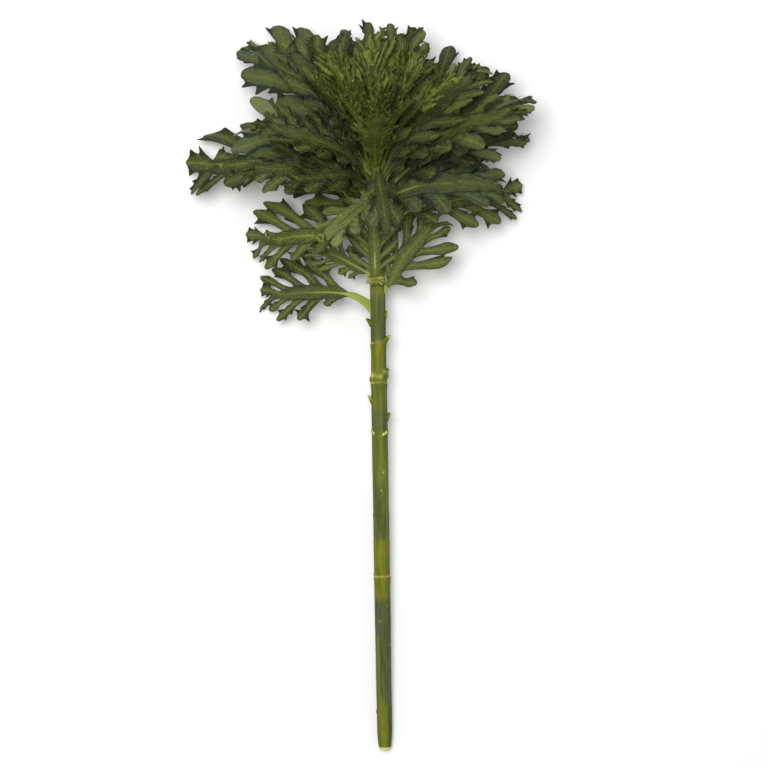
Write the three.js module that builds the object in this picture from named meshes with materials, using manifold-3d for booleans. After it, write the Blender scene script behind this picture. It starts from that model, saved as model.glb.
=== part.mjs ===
// An ornamental kale stem: a long cut stalk lying on the ground, with a loose head of deeply lobed
// leaves at its far end. Millimetres, +Z up. The stalk runs along +Y, from the cut end to the head,
// and its growing tip lifts away from the ground. The origin is below the middle of the whole thing.
//
// Every leaf is a strip of cross-sections along its midrib. A cross-section has four corners: the
// left and right margins and the top and bottom of the midrib. Long sections are lobes, short ones
// the gaps between lobes. Each leaf lies on a bowl about the head's axis, and the bowls are one
// inside the other, so no two leaves cross. The ground flattens the lowest ones.
import * as THREE from "three";
import Module from "manifold-3d";
import { mergeVertices } from "three/addons/utils/BufferGeometryUtils.js";

// ---- Driving dimensions -------------------------------------------------------------------------
const STALK_LENGTH = 511; // along Y, cut end to growing tip
const STALK_RADIUS = 6.7;
const STALK_SLOPE = 0.062; // the head's leaves hold that end of the stalk off the ground
const BEND_START = 385; // from here on the stalk curves upwards
const BEND_RISE = 38; // how much the curve lifts the growing tip
const STALK_SIDES = 14;
const HEART_RISE = 18; // degrees above the ground that the heart's axis points
const RIM_RISE = 62; // and the axis of the widest open leaves, because the ground turns them up
const LOW_RISE = 74; // and of the leaves low on the stalk, which lie flat

const PETIOLE_HALF_WIDTH = 2.1;
const PETIOLE_HALF_DEPTH = 1.3;
const BLADE_HALF_DEPTH = 0.75; // at the midrib; the margins are sharp
const JOIN_GAP = 0.35; // between a petiole's foot and the stalk's skin
const LOWEST = 0.8; // a leaf's middle surface comes no nearer to the ground
const GROUND_SOFTNESS = 5; // how gradually a drooping leaf turns to lie along the ground

const DEG = Math.PI / 180;

const COLOURS = {
  stalk: 0x6f8428,
  outer_leaf: 0x2c3d1f,
  inner_leaf: 0x40571f,
  heart_leaf: 0x56721c,
};

const vec = (x, y, z) => new THREE.Vector3(x, y, z);
const mix = THREE.MathUtils.lerp;
const smooth = THREE.MathUtils.smoothstep;
const clamp = THREE.MathUtils.clamp;

// ---- The stalk ----------------------------------------------------------------------------------
function stalkRadius(y) {
  const belly = 0.5 * Math.sin((Math.PI * clamp(y, 0, 400)) / 400);
  const taper = 2.6 * smooth(y, 400, STALK_LENGTH);
  return STALK_RADIUS - 0.5 + belly - taper;
}

function stalkCentre(y) {
  const past = Math.max(0, y - BEND_START) / (STALK_LENGTH - BEND_START);
  return vec(0, y, STALK_RADIUS - 0.5 + STALK_SLOPE * y + BEND_RISE * past * past);
}

function stalkDirection(y) {
  return stalkCentre(y + 0.5).sub(stalkCentre(y - 0.5)).normalize();
}

// A closed tube through rings of points, given as [[corner, corner, ...], ...]. The triangles of
// neighbouring sides mirror each other, so a thin leaf's top and bottom never cross.
function tubeGeometry(rings) {
  const sides = rings[0].length;
  const points = rings.flat();
  const index = [];
  for (let r = 0; r + 1 < rings.length; r++) {
    for (let k = 0; k < sides; k++) {
      const a = r * sides + k;
      const b = r * sides + ((k + 1) % sides);
      if (k % 2 === 0) index.push(a, b, a + sides, b, b + sides, a + sides);
      else index.push(a, b, b + sides, a, b + sides, a + sides);
    }
  }
  for (let k = 1; k + 1 < sides; k++) {
    const last = (rings.length - 1) * sides;
    index.push(0, k + 1, k, last, last + k, last + k + 1);
  }
  const geometry = new THREE.BufferGeometry().setFromPoints(points);
  geometry.setIndex(index);
  geometry.computeVertexNormals();
  return geometry;
}

function stalkRing(y, radius = stalkRadius(y)) {
  const centre = stalkCentre(y);
  const along = stalkDirection(y);
  const side = vec(1, 0, 0);
  const top = side.clone().cross(along);
  return Array.from({ length: STALK_SIDES }, (_, k) => {
    const angle = (2 * Math.PI * k) / STALK_SIDES;
    return centre
      .clone()
      .addScaledVector(side, radius * Math.cos(angle))
      .addScaledVector(top, -radius * Math.sin(angle));
  });
}

// The collars where two lengths of stalk meet: a step out just below, and back in above.
const COLLARS = [146, 200, 267, 312];
const COLLAR_PROUD = 0.45;

// Stubs of leaves that have been trimmed off: height on the stalk, turn about it from the top, length.
const STUBS = [
  { at: 360, turn: -95, length: 5.5 },
  { at: 366, turn: 92, length: 3.5 },
  { at: 346, turn: 88, length: 5.5 },
  { at: 318, turn: 100, length: 4 },
  { at: 314, turn: 10, length: 3.5 },
  { at: 296, turn: -85, length: 4.5 },
  { at: 281, turn: 95, length: 4.5 },
  { at: 232, turn: 178, length: 3 },
  { at: 62, turn: -110, length: 2.2 },
];

function stalkSections() {
  const sections = [];
  const add = (y, radius) => sections.push([y, radius]);
  add(0, stalkRadius(0) - 0.6);
  add(1.2, stalkRadius(0));
  let y = 1.2;
  for (const collar of COLLARS) {
    while (collar - y > 34) add((y += 28), stalkRadius(y));
    add(collar - 7, stalkRadius(collar));
    add(collar - 0.6, stalkRadius(collar) + COLLAR_PROUD);
    add(collar + 0.6, stalkRadius(collar));
    y = collar + 0.6;
  }
  while (STALK_LENGTH - y > 14) add((y += 11), stalkRadius(y));
  add(STALK_LENGTH - 1.5, stalkRadius(STALK_LENGTH));
  add(STALK_LENGTH, stalkRadius(STALK_LENGTH) * 0.55);
  return sections;
}

// Outward direction from the stalk's centre line at y, turned from the top (0) towards +X (90).
function outwards(y, turn) {
  const top = vec(1, 0, 0).cross(stalkDirection(y));
  return top.multiplyScalar(Math.cos(turn * DEG)).add(vec(Math.sin(turn * DEG), 0, 0));
}

function stubGeometry({ at, turn, length }) {
  const out = outwards(at, turn);
  const along = stalkDirection(at);
  const across = out.clone().cross(along);
  const foot = stalkCentre(at).addScaledVector(out, stalkRadius(at) * 0.7);
  const ring = (reach, rise, halfWidth, halfDepth) =>
    [
      [1, 0],
      [0, -1],
      [-1, 0],
      [0, 1],
    ].map(([a, b]) =>
      foot
        .clone()
        .addScaledVector(out, reach)
        .addScaledVector(along, rise + b * halfDepth)
        .addScaledVector(across, a * halfWidth),
    );
  return tubeGeometry([
    ring(0, -3, 3.6, 3.2),
    ring(length * 0.6, -0.5, 2.6, 1.9),
    ring(length, 2, 1.6, 0.8),
  ]);
}

async function stalkGeometry() {
  const wasm = await Module();
  wasm.setup();
  const solid = (geometry) => {
    const bare = geometry.clone();
    bare.deleteAttribute("normal");
    const merged = mergeVertices(bare, 1e-4);
    const mesh = new wasm.Mesh({
      numProp: 3,
      vertProperties: merged.attributes.position.array,
      triVerts: new Uint32Array(merged.index.array),
    });
    return new wasm.Manifold(mesh);
  };
  let whole = solid(tubeGeometry(stalkSections().map(([y, radius]) => stalkRing(y, radius))));
  for (const stub of STUBS) whole = whole.add(solid(stubGeometry(stub)));
  const { vertProperties, triVerts } = whole.getMesh();
  const geometry = new THREE.BufferGeometry();
  geometry.setAttribute("position", new THREE.BufferAttribute(vertProperties, 3));
  geometry.setIndex(new THREE.BufferAttribute(triVerts, 1));
  geometry.computeVertexNormals();
  return geometry;
}

// ---- The leaves, one by one ---------------------------------------------------------------------
// The head's leaves lie on bowls, one inside the other, about an axis that rises from the ground.
// openness 1 is the widest bowl, which the outermost leaves share with the ground, and 0 the axis.
// The wider its bowl, the lower a leaf's foot is on the stalk.
//
// at       where the petiole leaves the stalk along Y, where the bowl doesn't settle it
// bearing  the way the leaf points over the ground: 0 along the stalk, 90 towards +X
// rise     the angle of foot to tip above the ground
// length   foot to tip
// lobes    pairs of lobes;  reach: longest lobe as a share of length;  stalked: bare share of length
// fold     how far the two halves fold up from the midrib, in degrees
// axisRise the rise of the bowl's axis, for a leaf that turns its underside up
const LAID_LEAVES = [
  // Sparse leaves low on the stalk.
  {
    name: "low_left_leaf_1",
    at: 379, bearing: -88, rise: -13, length: 89,
    lobes: 4, reach: 0.41, stalked: 0.2,
  },
  {
    name: "low_right_small_leaf",
    at: 386, bearing: 42, rise: 1.1, length: 68,
    lobes: 4, reach: 0.42, stalked: 0.08, fold: 10,
  },
  {
    name: "low_front_leaf",
    at: 392, bearing: -3.6, rise: 29.4, length: 58,
    lobes: 3, reach: 0.42, stalked: 0.1, fold: 4, axisRise: -30,
  },
  {
    name: "low_left_small_leaf",
    at: 399, bearing: -68, rise: -0.3, length: 54,
    lobes: 3, reach: 0.34, stalked: 0.08, fold: 8,
  },
  {
    name: "low_under_leaf_1",
    at: 422, bearing: 36, rise: -19, length: 100,
    lobes: 4, reach: 0.38, stalked: 0.2,
  },
  {
    name: "low_under_leaf_2",
    at: 422, bearing: -33, rise: -22, length: 110,
    lobes: 4, reach: 0.38, stalked: 0.2,
  },
  {
    name: "low_left_leaf_2",
    at: 428, bearing: -91, rise: -13, length: 100,
    lobes: 4, reach: 0.38, stalked: 0.22,
  },
  {
    name: "low_right_leaf",
    at: 442, bearing: 80, rise: -15, length: 118,
    lobes: 5, reach: 0.34, stalked: 0.16,
  },
  // The outer ring, pressed on the ground behind the head.
  {
    name: "outer_leaf_1",
    bearing: -81, rise: -13, length: 152,
    lobes: 5, reach: 0.3, stalked: 0.2,
  },
  {
    name: "outer_leaf_2",
    bearing: -6, rise: -23, length: 142,
    lobes: 5, reach: 0.34, stalked: 0.2,
  },
  {
    name: "outer_leaf_3",
    bearing: -39, rise: -15, length: 160,
    lobes: 5, reach: 0.28, stalked: 0.2,
  },
  {
    name: "outer_leaf_4",
    bearing: 68, rise: -11, length: 134,
    lobes: 5, reach: 0.22, stalked: 0.2,
  },
  {
    name: "outer_leaf_5",
    bearing: 37, rise: -13, length: 128,
    lobes: 5, reach: 0.32, stalked: 0.2,
  },
  {
    name: "outer_leaf_6",
    bearing: -21, rise: -7, length: 119,
    lobes: 5, reach: 0.3, stalked: 0.2,
  },
  {
    name: "outer_leaf_7",
    bearing: 86, rise: -1, length: 104,
    lobes: 5, reach: 0.32, stalked: 0.14,
  },
  {
    name: "outer_leaf_8",
    bearing: 60, rise: -2, length: 140,
    lobes: 5, reach: 0.28, stalked: 0.18,
  },
  {
    name: "outer_leaf_9",
    bearing: -61, rise: -3, length: 112,
    lobes: 5, reach: 0.32, stalked: 0.16,
  },
  // The middle ring.
  {
    name: "middle_leaf_1",
    bearing: 13.3, rise: -5, length: 116,
    lobes: 5, reach: 0.34, stalked: 0.16,
  },
  {
    name: "middle_leaf_2",
    bearing: -35.9, rise: 4.8, length: 122,
    lobes: 5, reach: 0.32, stalked: 0.16,
  },
  {
    name: "middle_leaf_3",
    bearing: 46.4, rise: 4.3, length: 118,
    lobes: 5, reach: 0.32, stalked: 0.16,
  },
  {
    name: "middle_leaf_4",
    bearing: -84, rise: 18, length: 106,
    lobes: 5, reach: 0.32, stalked: 0.14,
  },
  {
    name: "middle_leaf_5",
    bearing: 67, rise: 14, length: 130,
    lobes: 5, reach: 0.3, stalked: 0.12,
  },
  {
    name: "middle_leaf_6",
    bearing: -66, rise: 21, length: 106,
    lobes: 5, reach: 0.3, stalked: 0.14,
  },
  // The side that faces up, free of the ground: these lean out over the stalk.
  {
    name: "front_leaf_1",
    at: 486.7, bearing: 171, rise: 20.2, length: 60,
    lobes: 3, reach: 0.26, stalked: 0.24,
  },
  {
    name: "front_leaf_2",
    bearing: -92, rise: 40, length: 84,
    lobes: 4, reach: 0.3, stalked: 0.16,
  },
  {
    name: "front_leaf_3",
    bearing: -130, rise: 34, length: 66,
    lobes: 4, reach: 0.3, stalked: 0.16,
  },
];

// The heart: a spiral of leaves about the head's axis, shorter and steeper towards its middle.
const HEART = {
  leaves: 28,
  firstTurn: 41,
  firstOpenness: 0.45,
  lastOpenness: 0.08,
  firstLength: 111,
  lastLength: 56,
};
const SPIRAL_TURN = 135.8; // from one leaf of the heart to the next
const HEAD_START = 456; // foot of a leaf on the widest bowl, along Y
const HEAD_END = 508; // and of one at the very middle

const axisAt = (rise) => vec(0, Math.cos(rise * DEG), Math.sin(rise * DEG));

// The widest lean from the axis, by the turn about it: 0 faces up and back over the stalk.
function widestLean(turn) {
  const front = Math.cos(turn);
  return mix(95, front < 0 ? 88 : 100, front * front) * DEG;
}

// Leaves lean out more and more with the distance from their foot.
const outwardCurve = (distance) => 0.68 + 0.32 * (distance / 100);

function placeOf(leaf) {
  const bearing = leaf.bearing * DEG;
  const way = vec(Math.sin(bearing), Math.cos(bearing), Math.tan(leaf.rise * DEG)).normalize();
  let openness = 1;
  let turn = 0;
  let axisRise = leaf.axisRise ?? LOW_RISE;
  for (let step = 0; step < 8; step++) {
    if (!(leaf.at < HEAD_START)) axisRise = mix(HEART_RISE, RIM_RISE, openness);
    const axis = axisAt(axisRise);
    const front = vec(1, 0, 0).cross(axis);
    turn = Math.atan2(way.x, way.dot(front));
    openness = way.angleTo(axis) / (widestLean(turn) * outwardCurve(leaf.length));
  }
  return { turn, openness, axisRise };
}

function heartLeaves() {
  const spiral = Array.from({ length: HEART.leaves }, (_, k) => {
    const t = k / (HEART.leaves - 1);
    const openness = mix(HEART.firstOpenness, HEART.lastOpenness, t);
    const turn = (k * SPIRAL_TURN + HEART.firstTurn) * DEG;
    // the leaves that face up are shorter
    const share = 1 - 0.18 * Math.max(0, Math.cos(turn));
    return {
      turn,
      openness,
      axisRise: mix(HEART_RISE, RIM_RISE, openness),
      length: mix(HEART.firstLength, HEART.lastLength, t) * share,
      lobes: t < 0.5 ? 4 : 3,
      reach: mix(0.27, 0.14, t),
      stalked: mix(0.14, 0.2, t),
      fold: mix(6, 4.5, t),
    };
  });
  // On the side that faces up the wide ones make room for the front leaves and a hollow.
  const kept = spiral.filter(({ turn, openness }) => Math.cos(turn) < 0.4 || openness < 0.4);
  return kept.map((leaf, k) => ({ ...leaf, name: `heart_leaf_${k + 1}` }));
}

// Where the sections stand along the midrib (0 foot, 1 tip), how far their margins reach as a share
// of the longest lobe, and the angle at which they leave the midrib.
function sectionsOf(leaf) {
  const { stalked, lobes } = leaf;
  const sections = [
    { t: 0, reach: 0, angle: 90 },
    { t: stalked * 0.5, reach: 0, angle: 90 },
    { t: stalked, reach: 0, angle: 80 },
  ];
  const blade = (u) => mix(stalked, 1, u);
  const pitch = 0.84 / lobes;
  for (let k = 0; k < lobes; k++) {
    const foot = 0.04 + pitch * (k + 0.5);
    const swell = Math.sin(Math.PI * mix(0.22, 0.8, k / (lobes - 1)));
    const angle = mix(70, 34, k / (lobes - 1));
    sections.push({ t: blade(foot - pitch * 0.42), reach: 0.2 * swell, angle: angle + 2 });
    sections.push({ t: blade(foot - pitch * 0.14), reach: swell, angle });
    sections.push({ t: blade(foot + pitch * 0.2), reach: swell * 0.92, angle: angle - 5 });
  }
  sections.push({ t: blade(0.9), reach: 0.16, angle: 40 });
  sections.push({ t: blade(0.95), reach: 0.2, angle: 35 });
  sections.push({ t: blade(1), reach: 0.03, angle: 35 });
  return sections;
}

// The middle surface of one leaf as it grew: for each section its midrib point and its two margins.
function growLeaf(leaf, order) {
  const axis = axisAt(leaf.axisRise);
  const front = vec(1, 0, 0).cross(axis);
  const apex = stalkCentre(leaf.at);
  const slim = mix(0.4, 1, Math.min(1, leaf.openness));
  const onBowl = (forward, sideways) => {
    const distance = Math.hypot(forward, sideways);
    const lean = leaf.openness * outwardCurve(distance);
    const middleLean = lean * widestLean(leaf.turn);
    const turn = leaf.turn - Math.atan2(sideways, forward) / Math.max(0.5, Math.sin(middleLean));
    const fromAxis = lean * widestLean(turn);
    return apex
      .clone()
      .addScaledVector(axis, distance * Math.cos(fromAxis))
      .addScaledVector(front, distance * Math.sin(fromAxis) * Math.cos(turn))
      .addScaledVector(vec(1, 0, 0), distance * Math.sin(fromAxis) * Math.sin(turn));
  };
  const footDistance = stalkRadius(leaf.at) + JOIN_GAP + PETIOLE_HALF_DEPTH * slim;
  const along = stalkDirection(leaf.at);
  const start = onBowl(footDistance, 0);
  const out = start.clone().sub(apex);
  out.addScaledVector(along, -out.dot(along)).normalize();
  const footShift = apex.clone().addScaledVector(out, footDistance).sub(start);
  return sectionsOf(leaf).map(({ t, reach, angle }, k) => {
    const distance = footDistance + t * leaf.length;
    const shift = footShift.clone().multiplyScalar(1 - smooth(distance, footDistance, footDistance + 30));
    const middle = onBowl(distance, 0).add(shift);
    const forward = onBowl(distance + 1, 0).sub(onBowl(distance - 1, 0));
    const sideways = onBowl(distance, 1).sub(onBowl(distance, -1));
    const normal = sideways.cross(forward).normalize();
    const halfWidth = PETIOLE_HALF_WIDTH * slim + reach * leaf.reach * leaf.length;
    const across = halfWidth * Math.sin(angle * DEG);
    const wave = 0.8 * Math.sin(2.1 * k + 1.7 * order) * Math.min(1, reach);
    const lift = across * Math.tan((leaf.fold ?? 3) * DEG);
    const margin = (sign) =>
      onBowl(distance + halfWidth * Math.cos(angle * DEG), sign * across)
        .add(shift)
        .addScaledVector(normal, lift + sign * wave);
    const [left, right] = [margin(-1), margin(1)].map(pressToGround);
    const bladed = smooth(t, leaf.stalked * 0.6, leaf.stalked + 0.1);
    const depth = mix(PETIOLE_HALF_DEPTH, BLADE_HALF_DEPTH, bladed) * slim;
    return { middle: pressToGround(middle), left, right, depth };
  });
}

// The ground turns drooping leaves to lie along it. Higher points stay above lower ones.
function pressToGround(point) {
  const above = (point.z - LOWEST) / GROUND_SOFTNESS;
  if (above < 30) point.z = LOWEST + GROUND_SOFTNESS * Math.log1p(Math.exp(above));
  return point;
}

function leafGeometry(rows) {
  return tubeGeometry(
    rows.map(({ middle, left, right, depth }, r) => {
      const before = rows[Math.max(0, r - 1)].middle;
      const after = rows[Math.min(rows.length - 1, r + 1)].middle;
      const forward = after.clone().sub(before);
      const normal = right.clone().sub(left).cross(forward).normalize();
      const halfDepth = r === rows.length - 1 ? 0.4 * depth : depth;
      const top = middle.clone().addScaledVector(normal, halfDepth);
      const bottom = middle.clone().addScaledVector(normal, -halfDepth);
      return [left, top, right, bottom];
    }),
  );
}

// ---- Assembly -----------------------------------------------------------------------------------
function meshOf(name, geometry, finish) {
  const material = new THREE.MeshStandardMaterial({ color: COLOURS[finish], roughness: 0.6, metalness: 0 });
  const mesh = new THREE.Mesh(geometry, material);
  mesh.name = name;
  return mesh;
}

function finishOf(name) {
  if (name.startsWith("heart")) return "heart_leaf";
  return name.startsWith("middle") || name.startsWith("front") ? "inner_leaf" : "outer_leaf";
}

const kaleStem = new THREE.Group();
const placed = [...LAID_LEAVES.map((leaf) => ({ ...leaf, ...placeOf(leaf) })), ...heartLeaves()];
const allLeaves = placed.map((leaf) => ({
  ...leaf,
  at: leaf.at ?? mix(HEAD_END, HEAD_START, Math.min(1, leaf.openness)),
}));
kaleStem.add(meshOf("stalk", await stalkGeometry(), "stalk"));
for (const [order, leaf] of allLeaves.entries()) {
  kaleStem.add(meshOf(leaf.name, leafGeometry(growLeaf(leaf, order)), finishOf(leaf.name)));
}

// The origin goes below the middle, at ground level.
const bounds = new THREE.Box3().setFromObject(kaleStem, true);
const middle = bounds.getCenter(vec(0, 0, 0));
kaleStem.position.set(-middle.x, -middle.y, -bounds.min.z);

export default kaleStem;
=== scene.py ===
import bisect
import functools
import itertools
import random
import statistics
from math import atan2, cos, degrees, exp, hypot, pi, radians, sin

import bmesh
import bpy
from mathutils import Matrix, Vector
from mathutils.bvhtree import BVHTree
from mathutils.noise import noise


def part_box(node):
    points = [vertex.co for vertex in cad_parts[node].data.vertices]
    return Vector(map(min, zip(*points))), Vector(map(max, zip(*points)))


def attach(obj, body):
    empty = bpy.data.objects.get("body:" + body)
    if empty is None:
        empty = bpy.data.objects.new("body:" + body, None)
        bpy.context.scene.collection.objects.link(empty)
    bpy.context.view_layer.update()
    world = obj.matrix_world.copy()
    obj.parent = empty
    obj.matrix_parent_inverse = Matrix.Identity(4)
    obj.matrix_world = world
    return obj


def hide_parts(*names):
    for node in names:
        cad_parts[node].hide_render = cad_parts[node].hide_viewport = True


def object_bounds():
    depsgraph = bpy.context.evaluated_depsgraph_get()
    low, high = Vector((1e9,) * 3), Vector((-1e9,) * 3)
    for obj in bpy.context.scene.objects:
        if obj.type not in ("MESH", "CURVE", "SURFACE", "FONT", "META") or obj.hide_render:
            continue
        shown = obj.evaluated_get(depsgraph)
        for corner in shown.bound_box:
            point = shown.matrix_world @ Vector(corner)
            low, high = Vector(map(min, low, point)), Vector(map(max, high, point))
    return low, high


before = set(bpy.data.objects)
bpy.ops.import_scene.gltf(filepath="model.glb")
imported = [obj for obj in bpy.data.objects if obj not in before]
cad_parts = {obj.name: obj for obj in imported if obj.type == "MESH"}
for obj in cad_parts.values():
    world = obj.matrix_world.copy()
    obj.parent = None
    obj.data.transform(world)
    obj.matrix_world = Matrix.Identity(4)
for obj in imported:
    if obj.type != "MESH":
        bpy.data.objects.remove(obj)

cad_low, cad_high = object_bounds()

MM = 0.001
TURN = 2 * pi
MERGE = 0.01 * MM  # vertices nearer than this are one
HEAD_AXIS = Vector((0, cos(radians(30)), sin(radians(30))))
LOWEST = 0.55 * MM  # no leaf's middle surface comes nearer to the table
CUSHION = 2 * MM  # a leaf that comes lower than this above it is eased up
SKIN_LOWEST = 0.2 * MM  # and no skin of a leaf comes nearer than this


def mix(a, b, t):
    return a + (b - a) * t


def ease(t):
    """From 0 to 1 with a soft start and end."""
    t = min(1, max(0, t))
    return t * t * (3 - 2 * t)


def add_object(name, data):
    made = bpy.data.objects.new(name, data)
    bpy.context.scene.collection.objects.link(made)
    return made


def finished_mesh(name, mesh, finishes=(), sharp=None):
    """Turns a bmesh into mesh data with its finishes, and sharp edges from an angle in degrees."""
    data = bpy.data.meshes.new(name)
    mesh.to_mesh(data)
    mesh.free()
    for finish in finishes:
        data.materials.append(finish)
    if sharp:
        data.set_sharp_from_angle(angle=radians(sharp))
    return data


# ---- Reading the solids ----
def merged_copy(node):
    mesh = bmesh.new()
    mesh.from_mesh(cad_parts[node].data)
    bmesh.ops.remove_doubles(mesh, verts=mesh.verts, dist=MERGE)
    mesh.verts.index_update()
    return mesh


def neighbours(vert):
    return {e.other_vert(vert) for e in vert.link_edges}


def smooth_through(stations, values):
    """A smooth curve through the values at increasing stations, straight beyond its ends."""
    last = len(stations) - 1
    spans = [(max(0, k - 1), min(last, k + 1)) for k in range(last + 1)]
    slopes = [(values[b] - values[a]) / (stations[b] - stations[a]) for a, b in spans]

    def at(s):
        if s <= stations[0]:
            return values[0] + slopes[0] * (s - stations[0])
        if s >= stations[last]:
            return values[last] + slopes[last] * (s - stations[last])
        k = bisect.bisect_right(stations, s) - 1
        span = stations[k + 1] - stations[k]
        t = (s - stations[k]) / span
        rise = ease(t)
        straight = values[k] * (1 - rise) + values[k + 1] * rise
        bent = slopes[k] * (span * t * (1 - t) ** 2)
        return straight + bent - slopes[k + 1] * (span * t * t * (1 - t))

    return at


def leaf_sections(node):
    """A leaf solid's sections from foot to tip, each as left margin, top, right margin, bottom."""
    mesh = merged_copy(node)
    # four or five edges meet at the foot's corners, and three or six at all others
    ring = [v for v in mesh.verts if len(v.link_edges) in (4, 5)]
    rings, seen = [], set(ring)
    while ring:
        rings.append(ring)
        beyond = set().union(*map(neighbours, ring)) - seen
        ring = sorted(beyond, key=lambda v: v.index)
        seen.update(ring)
    sections, before = [], None
    for ring in rings:
        left, right = max(itertools.combinations(ring, 2), key=lambda p: (p[0].co - p[1].co).length)
        top, bottom = (v for v in ring if v not in (left, right))
        if before and left not in neighbours(before[0]):
            left, right = right, left
        if before and top not in neighbours(before[1]):
            top, bottom = bottom, top
        before = (left, top, right, bottom)
        sections.append([v.co.copy() for v in before])
    mesh.free()
    return sections


FORWARD_STEP = 1.5 * MM
FOOT_SHARE = 0.34  # a leaf's width at its foot, as a share of the width where its lobes begin


class LeafForm:
    """The middle surface of one leaf. A point on it is a distance along the midrib, a side (0 or 1)
    and a share of the way out to the margin on that side."""

    def __init__(self, node):
        sections = leaf_sections(node)
        middles = [(top + bottom) / 2 for _, top, _, bottom in sections]
        along = [0]
        for a, b in zip(middles, middles[1:]):
            along.append(along[-1] + (b - a).length)
        self.length = along[-1]
        self.midrib = smooth_through(along, middles)
        # four sections lead up to the lobes, every lobe has two and every notch one, three end the tip
        self.lobes = (len(sections) - 6) // 3
        corners = [r for k in range(self.lobes) for r in (4 + 3 * k, 5 + 3 * k)]
        self.first = (along[corners[0]] + along[corners[1]]) / 2
        self.last = (along[corners[-2]] + along[corners[-1]]) / 2
        self.start = along[2]
        self.petiole = (sections[0][0] - sections[0][2]).length / 2
        self.depth = (sections[0][1] - sections[0][3]).length / 2
        self.reaches = [
            smooth_through([along[r] for r in corners], [sections[r][s] - middles[r] for r in corners])
            for s in (0, 2)
        ]
        self.limits = (along[corners[0]], along[corners[-1]])
        # the face that looks along the head's axis is the upper one
        up = sum(((top - bottom).normalized().dot(HEAD_AXIS)) for _, top, _, bottom in sections)
        halfway = len(sections) // 2
        facing = (sections[halfway][1] - sections[halfway][3]) * (-1 if up < 0 else 1)
        self.sign = 1
        self.sign = 1 if self.normal(along[halfway]).dot(facing) > 0 else -1

    def forward(self, s):
        return (self.midrib(s + FORWARD_STEP) - self.midrib(s - FORWARD_STEP)).normalized()

    def reach(self, side, s):
        """From the midrib to the margin."""
        low, high = self.limits
        return self.reaches[side](min(high, max(low, s))) * mix(FOOT_SHARE, 1, ease(s / low))

    def normal(self, s):
        across = self.reach(1, s) - self.reach(0, s)
        return across.cross(self.forward(s)).normalized() * self.sign

    def outward(self, side, s):
        """Straight out from the midrib on that side."""
        forward = self.forward(s)
        reach = self.reach(side, s)
        return (reach - forward * reach.dot(forward)).normalized()

    def point(self, s, side, share):
        return self.midrib(s) + self.reach(side, s) * share


PROUD = 1.4 * MM  # what stands out from the stalk by more than this is a stub
STUB_SPAN = 9 * MM
FEEL_STEP = 8 * MM
RIGHT, UP = Vector((1, 0, 0)), Vector((0, 0, 1))


class StalkForm:
    """The stalk's centre line and thickness, felt out from its own solid."""

    def __init__(self):
        solid = merged_copy("stalk")
        skin = BVHTree.FromBMesh(solid)
        low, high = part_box("stalk")
        self.foot, self.tip = low.y, high.y
        x = (low.x + high.x) / 2
        stations, middles, radii = [], [], []
        y = low.y + 2 * MM
        while y < high.y - 3 * MM:
            top = skin.ray_cast(Vector((x, y, 1)), -UP)[0].z
            bottom = skin.ray_cast(Vector((x, y, -1)), UP)[0].z
            z = (top + bottom) / 2
            left = skin.ray_cast(Vector((-1, y, z)), RIGHT)[0].x
            right = skin.ray_cast(Vector((1, y, z)), -RIGHT)[0].x
            stations.append(y)
            middles.append(Vector(((left + right) / 2, y, z)))
            radii.append((right - left) / 2)
            y += FEEL_STEP
        # the stubs stand out at single stations only, so a median leaves them out
        median = statistics.median_high
        calm = [median(radii[max(0, k - 3) : k + 4]) for k in range(len(radii))]
        for k, middle in enumerate(middles):
            middle.x = median(m.x for m in middles)
            middle.z = median(m.z for m in middles[max(0, k - 1) : k + 2])
        self.middle = smooth_through(stations, middles)
        self.radius = smooth_through(stations, calm)
        self.stubs = []
        proud = [v for v in solid.verts if self.stands_out(v.co) > PROUD]
        while proud:
            group = [v for v in proud if (v.co - proud[0].co).length < STUB_SPAN]
            self.stubs.append(max((v.co.copy() for v in group), key=self.stands_out))
            proud = [v for v in proud if v not in group]
        solid.free()

    def stands_out(self, spot):
        offset = spot - self.middle(spot.y)
        return hypot(offset.x, offset.z) - self.radius(spot.y)

    def along(self, y):
        return (self.middle(y + MM) - self.middle(y - MM)).normalized()

    def out(self, y, angle):
        """Outward at the angle from the side that faces up, towards +X."""
        return RIGHT.cross(self.along(y)) * cos(angle) + RIGHT * sin(angle)


STALK = StalkForm()

# ---- A leaf's blade ----
# Rows cross a lobe at these shares of the way from the wing beside the midrib to its tip.
LOBE_ROWS = (0.05, 0.2, 0.36, 0.52, 0.68, 0.82, 0.94)
# Half widths are shares of the room a lobe has, and an end has its place before its half width.
# A tooth starts at a row, spans one or two, has its tip in the same terms, and its chance comes last.
FINGERS = {
    "widths": (0.38, 0.26, 0.23, 0.26, 0.31, 0.3, 0.22),
    "end": (1.05, 0.11),
    "teeth": [(1, 2, 0.46, 0.44, 0.3), (3, 2, 0.8, 0.58, 0.75)],
}
PADDLES = {
    "widths": (0.42, 0.33, 0.31, 0.33, 0.35, 0.33, 0.25),
    "end": (1.04, 0.13),
    "teeth": [(0, 2, 0.36, 0.56, 0.7), (2, 2, 0.68, 0.64, 0.7), (4, 2, 0.97, 0.48, 0.4)],
}
FRINGES = {
    "widths": (0.36, 0.27, 0.27, 0.29, 0.26, 0.2, 0.12),
    "end": (1.07, 0.04),
    "teeth": [(0, 1, 0.3, 0.5, 0.9), (1, 1, 0.5, 0.56, 0.9), (2, 1, 0.7, 0.54, 0.9),
              (3, 1, 0.88, 0.5, 0.9), (4, 1, 1.02, 0.4, 0.9)],
}
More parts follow.
